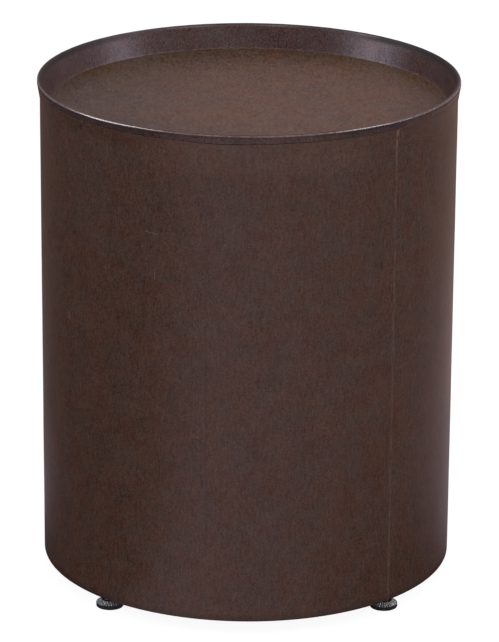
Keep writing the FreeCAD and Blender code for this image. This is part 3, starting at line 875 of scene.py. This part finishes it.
# radius and height in millimetres, and how deep the flutes are there, round the pad's section
PAD_SECTION = [
    (6.3, 0.0, 0), (10.0, 0.0, 0), (14.3, 0.0, 0), (14.75, 0.2, 0.3), (14.95, 0.6, 0.9),
    (15.0, 1.2, 1), (15.0, 2.8, 1), (15.0, 4.2, 1), (14.9, 4.7, 1), (14.5, 5.1, 1),
    (12.8, 5.95, 1), (11.0, 6.8, 1), (9.6, 7.5, 0.8), (9.0, 7.78, 0.4), (8.5, 7.95, 0),
    (7.8, 8.0, 0), (3.9, 8.0, 0), (3.6, 7.7, 0), (3.6, 2.4, 0), (6.1, 2.4, 0), (6.2, 0.2, 0),
]


def flute(angle):
    """How far into a flute the surface is at this angle, 0 on a rib and 1 in a flute."""
    return ease(math.cos(angle * PAD_RIBS), -0.35, 0.85)


def make_pad(corner, angle, finish):
    """The foot's round base: fluted side and ribbed cone."""
    middle = polar(FOOT_CIRCLE, angle, 0)
    columns = PAD_RIBS * 8
    line = [Vector((radius, height)) * MM for radius, height, _ in PAD_SECTION]
    inner = moved_right(line, -FLUTE_DEPTH)
    points, wear = [], []
    for row, (_, height, depth) in enumerate(PAD_SECTION):
        for turn in turns(columns):
            groove = flute(turn)
            radius, level = line[row].lerp(inner[row], depth * groove)
            points.append(middle + polar(radius, turn + angle, level))
            # painted sheen on the cone and the ribs, less in the flutes
            cone = ease(height, 4.6, 5.4) if depth else 0
            wear.append((0.04 + 0.96 * cone) * (1 - 0.85 * groove) if depth else 0)
    faces = [face[::-1] for face in grid_faces(len(PAD_SECTION), columns)]
    name = "foot_base_" + corner
    piece = new_piece(name, points, faces, "pad_" + corner, "black_nylon", finish, 50, wear=wear)
    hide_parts("leveller_pad_" + corner)


STEM_RADIUS = 3.95 * MM
STEM_TOP = 46.2 * MM
THREAD_PITCH = 1.25 * MM
THREAD_DEPTH = 0.7 * MM
THREAD_ROWS = 8  # rows of points in one turn of thread
HEXAGON_ACROSS = 13 * MM
HEXAGON_BOTTOM = 8.1 * MM
HEXAGON_TOP = 11.2 * MM
HEXAGON_BEVEL = 0.7 * MM
# radius and height in millimetres, up the rivet's head and the journal
RIVET = [(0.6, 1.0), (5.3, 1.0), (5.6, 1.3), (5.6, 2.0), (5.3, 2.3), (3.54, 2.3), (3.54, 8.0)]


def thread(turn, height):
    """How far from the thread's root the surface is, 0 to 1: a right-hand helix."""
    phase = (height / THREAD_PITCH - turn / TURN) % 1
    return ease(abs(phase - 0.5), 0.1, 0.4)


def hexagon(turn):
    """Radius of the hexagon at this angle."""
    sixth = TURN / 6
    return HEXAGON_ACROSS / 2 / math.cos(turn % sixth - sixth / 2)


def make_stem(corner, angle, finish):
    """The steel stem: rivet head, journal, bevelled hexagon and M8 thread."""
    middle = polar(FOOT_CIRCLE, angle, 0)
    columns = 48
    rows = [(lambda turn, r=radius: r * MM, height * MM) for radius, height in RIVET]
    flat = HEXAGON_ACROSS / 2 - 0.15 * MM
    levels = [0, 0.25, 0.5, 1]
    bevels = [(part, HEXAGON_BOTTOM + part * HEXAGON_BEVEL) for part in levels]
    bevels += [(part, HEXAGON_TOP - part * HEXAGON_BEVEL) for part in levels[::-1]]
    for part, height in bevels:
        cap = flat + part * (hexagon(0) - flat)
        rows.append((lambda turn, c=cap: min(hexagon(turn), c), height))
    rows.append((lambda turn: STEM_RADIUS - THREAD_DEPTH, HEXAGON_TOP))
    count = round((STEM_TOP - HEXAGON_TOP) / THREAD_PITCH * THREAD_ROWS)
    for index in range(1, count + 1):
        height = HEXAGON_TOP + (STEM_TOP - HEXAGON_TOP) * index / count
        runout = ease(height, HEXAGON_TOP, HEXAGON_TOP + THREAD_PITCH)
        runout *= fade(height, STEM_TOP - THREAD_PITCH, STEM_TOP)
        rows.append((
            lambda turn, h=height, k=runout: STEM_RADIUS - THREAD_DEPTH * (1 - k * thread(turn, h)),
            height,
        ))
    points = []
    for radius_at, height in rows:
        for turn in turns(columns):
            points.append(middle + polar(radius_at(turn), turn + angle, height))
    faces = grid_faces(len(rows), columns, ring=False)
    faces.append(list(range(columns)))
    faces.append([(len(rows) - 1) * columns + column for column in range(columns)][::-1])
    faces = [face[::-1] for face in faces]
    name = "foot_stem_" + corner
    piece = new_piece(name, points, faces, "stem_" + corner, "zinc_steel", finish, 32)
    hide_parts("leveller_stem_" + corner)


# ---- floor, light and camera ----

WHITE = (1, 1, 1, 1)
# light from all round on what isn't gloss, against a white of 1
LOW_LIGHT = 0.45
OVERHEAD_LIGHT = 1.25
# how bright the studio looks in gloss, by degrees round it: 0 is right, -90 the front
STUDIO_TONES = {
    -180: 0.1, -165: 0.3, -150: 0.55, -138: 0.75, -120: 0.95, -90: 0.8, -50: 0.9, -25: 0.65, 0: 0.35,
    28: 0.65, 60: 0.58, 90: 0.45, 120: 0.31, 147: 0.23, 165: 0.13, 180: 0.1,
}
# the same in front of the table, on the two outer rings of the floor
FAR_FRONT = {-180: 0.03, -150: 0.04, -136: 0.2, -118: 1.3, -108: 1.45, -90: 1.1, -72: 1.0, -50: 0.8}
# the same on the floor, near the table and further out, by metres from its middle
FLOOR_TONES = {
    0.32: {
        -180: 0.05, -150: 0.04, -136: 0.1, -118: 1.25, -108: 1.3, -95: 1.1, -72: 0.95, -59: 0.4,
        -46: 0.15, -30: 0.07, -17: 0.06, -5: 0.14, 5: 0.3, 30: 0.6, 90: 0.5, 120: 0.5, 150: 0.45,
        162: 0.2, 175: 0.08,
    },
    0.8: {
        -180: 0.03, -150: 0.03, -137: 0.08, -128: 0.3, -118: 1.3, -109: 1.5, -95: 1.2, -72: 1.0,
        -50: 0.85, -25: 0.45, -10: 0.32, 10: 0.34, 33: 0.55, 45: 0.8, 60: 0.75, 90: 0.5, 104: 0.46,
        120: 0.42, 133: 0.3, 147: 0.08, 165: 0.03,
    },
    1.4: FAR_FRONT | {
        -25: 0.4, -10: 0.25, 10: 0.16, 25: 0.22, 40: 0.45, 60: 0.46, 90: 0.36, 104: 0.3, 125: 0.2,
        150: 0.05,
    },
    2.0: FAR_FRONT | {
        -25: 0.25, -10: 0, 10: 0, 25: 0.15, 40: 0.4, 60: 0.42, 90: 0.34, 104: 0.26, 125: 0.2, 150: 0.05,
    },
}
OVERHEAD_TONE = 0.12
ROSE = (1, 0.85, 1.01, 1)  # the studio's faint cast in gloss
AMBER = (1.15, 0.82, 0.72, 1)  # the same far behind the table
FLOOR_REACH = 6.0
FLOOR_GREY = (0.8, 0.8, 0.8, 1)  # the floor's colour under the table's light
FLOOR_SEEN = 0.93  # the white that the camera sees it add to its shadows
SHADOW_GREY = (0.1, 0.1, 0.1, 1)  # and how strongly those show


def studio_tone(recipe, way, tones):
    """The brightness that gloss shows, by the way the reflection goes."""
    x, y, _ = recipe.parts(way)
    turn = x.maths("ARCTAN2", y, x) / TURN + 0.5
    stops = [((degrees + 180) / 360, (tone, tone, tone, 1)) for degrees, tone in tones.items()]
    return recipe.ramp(turn, stops)


def floor_tone(recipe, place):
    """The brightness that gloss shows of the floor, by where on it the reflection falls."""
    away = recipe.vector("DISTANCE", place, (0, 0, 0), "Value")
    (near, tones), *further = FLOOR_TONES.items()
    tone = studio_tone(recipe, place, tones)
    for far, tones in further:
        share = recipe.between(away, near, far)
        tone = tone + share * (studio_tone(recipe, place, tones) - tone)
        near = far
    return tone


def seen_rays(recipe):
    """Whether a ray comes from the camera, and whether it comes off gloss or through glass."""
    path = recipe.node("LightPath").socket.node
    kinds = ("Is Camera Ray", "Is Glossy Ray", "Is Transmission Ray")
    camera, glossy, through = (Wire(recipe, path.outputs[kind]) for kind in kinds)
    return camera, camera.maths("MAXIMUM", glossy, through) * (1 - camera)


def make_world():
    """Even soft light, a white backdrop for the camera, and a toned one for gloss."""
    world = bpy.data.worlds.new("studio")
    bpy.context.scene.world = world
    recipe = Recipe(world)
    camera, shiny = seen_rays(recipe)
    way = recipe.node("TexCoord", output="Generated")
    height = recipe.parts(way)[2]
    tone = studio_tone(recipe, way, STUDIO_TONES)
    tone = tone + recipe.between(height, 0.5, 0.9) * (OVERHEAD_TONE - tone)
    soft = LOW_LIGHT + height * (OVERHEAD_LIGHT - LOW_LIGHT)
    strength = camera + shiny * tone + (1 - camera - shiny) * soft
    colour = recipe.mix(shiny, WHITE, ROSE)
    backdrop = recipe.node("Background", {"Color": colour, "Strength": strength})
    recipe.node("OutputWorld", {"Surface": backdrop})


def make_floor():
    """A pale floor that takes the table's shadow and meets the white backdrop unseen."""
    corners = [(x * FLOOR_REACH, y * FLOOR_REACH, 0) for x, y in ((-1, -1), (1, -1), (1, 1), (-1, 1))]
    mesh = new_mesh("floor", corners, [(0, 1, 2, 3)])
    recipe = finish_named("pale_floor")
    camera, shiny = seen_rays(recipe)
    place = recipe.place()
    tone = floor_tone(recipe, place)
    cast = recipe.mix(recipe.between(recipe.parts(place)[1], 0, 1), ROSE, AMBER)
    matt = recipe.node("BsdfDiffuse", {"Color": FLOOR_GREY})
    glow = recipe.node("Emission", {"Color": cast, "Strength": tone})
    faint = recipe.node("BsdfDiffuse", {"Color": SHADOW_GREY})
    pale = recipe.node("Emission", {"Color": WHITE, "Strength": FLOOR_SEEN})
    seen = recipe.node("AddShader", {0: faint, 1: pale})
    whole = recipe.node("MixShader", {0: shiny, 1: matt, 2: glow})
    whole = recipe.node("MixShader", {0: camera, 1: whole, 2: seen})
    recipe.node("OutputMaterial", {"Surface": whole})
    mesh.materials.append(recipe.owner)
    floor = put("floor", mesh)


def all_but(piece):
    """What a lamp lights when it passes one piece over."""
    receivers = bpy.data.collections.new("all_but_" + piece.name)
    receivers.objects.link(piece)
    receivers.collection_objects[0].light_linking.link_state = "EXCLUDE"
    return receivers


def put_aimed(name, data, place, aim):
    """Puts a lamp or a lens at a place, facing a point."""
    made = put(name, data)
    made.location = place
    made.rotation_mode = "QUATERNION"
    made.rotation_quaternion = (Vector(aim) - Vector(place)).to_track_quat("-Z", "Y")
    return made


def make_softbox(name, place, aim, width, height, watts, colour, only=None, receivers=None):
    """A rectangular lamp that faces a point, for matt light, for gleams on gloss, or for both."""
    lamp = bpy.data.lights.new(name, "AREA")
    lamp.shape = "RECTANGLE"
    lamp.size = width
    lamp.size_y = height
    lamp.energy = watts
    lamp.color = colour
    stand = put_aimed(name, lamp, place, aim)
    stand.visible_diffuse = only != "gleam"
    stand.visible_glossy = only != "matt"
    stand.light_linking.receiver_collection = receivers


CAMERA_PLACE = (-0.0395, -4.0424, 1.6776)
CAMERA_AIM = (0.0023, 0, 0.2761)
CAMERA_ROLL = 0.0071
CAMERA_LENS = 217.8


def make_camera():
    lens = bpy.data.cameras.new("camera")
    lens.lens = CAMERA_LENS
    camera = put_aimed("camera", lens, CAMERA_PLACE, CAMERA_AIM)
    camera.rotation_quaternion = camera.rotation_quaternion @ Quaternion((0, 0, 1), CAMERA_ROLL)
    bpy.context.scene.camera = camera


# ---- the table ----

side_finish = leather(
    "side_leather", warm=shade(62, 38, 26), cool=shade(58, 40, 31), rubbed_and_lit=shade(112, 84, 72),
    roughness=0.42, size=1.0 * MM, contrast=0.041, marks=SIDE_MARKS,
)
rim_finish = leather(
    "rim_leather", warm=shade(64, 41, 33), cool=shade(60, 42, 38), rubbed_and_lit=shade(128, 108, 104),
    roughness=0.33, size=0.85 * MM, contrast=0.08,
)
# painted light: the tray's leather, the same as the side's, is given lighter colours for the light that
# falls on it from above, and paler still towards its middle
tray_finish = leather(
    "tray_leather", warm=shade(79, 56, 39), cool=shade(74, 56, 44), rubbed_and_lit=shade(122, 98, 88),
    roughness=0.42, size=1.5 * MM, contrast=0.07, run=(1, 0.32, 1),
    lit_middle=((0.06, 0, TRAY_TOP), 0.1, 0.22, (1.33, 1.15, 1.02, 1)),
)
make_side_leather(side_finish)
make_rim_leather(rim_finish)
tray_disc = make_tray_disc(tray_finish)

zinc_finish = zinc("zinc_steel")
nylon_finish = nylon("black_nylon")
make_staples(zinc_finish)
make_dust_cloth(cloth("dust_cloth"))
for corner_name, degrees in CORNERS.items():
    make_pad(corner_name, math.radians(degrees), nylon_finish)
    make_stem(corner_name, math.radians(degrees), zinc_finish)

# the pieces that stay as the solids have them, by finish
# painted shade: the hoop is darkened where it shows through the leather's joint
behind_joint = (BAND_EDGE - 2 * MM, BAND_EDGE + 2 * MM)
beech = timber("hoop_beech", shade(205, 166, 122), shade(176, 132, 90), (1, 1, 0.5), behind_joint)
pine = timber("post_pine", shade(226, 191, 140), shade(194, 148, 96), (1, 1, 0.06))
for node_finish, node_names in (
    (plywood("bent_plywood", "radius"), ["drum_shell"]),
    (plywood("plywood", "height"), ["tray_panel", "base_ring", "middle_ring"]),
    (beech, ["rim_hoop"]),
    (pine, ["post_right", "post_back", "post_left", "post_front"]),
    (zinc_finish, ["tray_screws", "base_screws", "threaded_inserts"]),
):
    for node_name in node_names:
        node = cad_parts[node_name]
        node.data.materials.clear()
        node.data.materials.append(node_finish)

# ---- the studio ----

TRAY_MIDDLE = (0, 0, TRAY_TOP)
LAVENDER = (0.86, 0.82, 1.0)
BLUSH = (1, 0.94, 0.93)
# place, width, height, watts and colour
SIDE_LAMPS = {
    "right_softbox": ((2.0, -0.18, 1.15), 0.5, 0.6, 13, LAVENDER),
    "left_softbox": ((-2.0, -0.15, 1.1), 0.4, 0.6, 12.5, LAVENDER),
}
# each named for the stretch of the wall or lip that mirrors it
GLEAM_LAMPS = {
    "left_wall_gleam": ((1.71, -0.13, 1.22), 0.35, 0.6, 9, LAVENDER),
    "right_wall_gleam": ((-1.68, -0.25, 1.25), 0.6, 0.6, 11, LAVENDER),
    "left_lip_gleam": ((-1.4, 0.5, 2.22), 0.8, 1.4, 29, BLUSH),
    "right_lip_gleam": ((1.2, 0.34, 2.4), 0.8, 1.0, 18, BLUSH),
}

make_world()
make_floor()
make_softbox("front_softbox", (0.9, -3.2, 1.4), (0, 0, 0.3), 1.6, 1.2, 14, (1, 0.97, 0.95))
off_tray = all_but(tray_disc)
for lamp_name, (lamp_place, *lamp) in SIDE_LAMPS.items():
    make_softbox(lamp_name, lamp_place, TRAY_MIDDLE, *lamp, "matt")
    make_softbox(lamp_name + "_gleam", lamp_place, TRAY_MIDDLE, *lamp, "gleam", off_tray)
for lamp_name, (lamp_place, *lamp) in GLEAM_LAMPS.items():
    make_softbox(lamp_name, lamp_place, TRAY_MIDDLE, *lamp, "gleam", off_tray)
make_camera()

bpy.context.scene.view_settings.view_transform = "Standard"
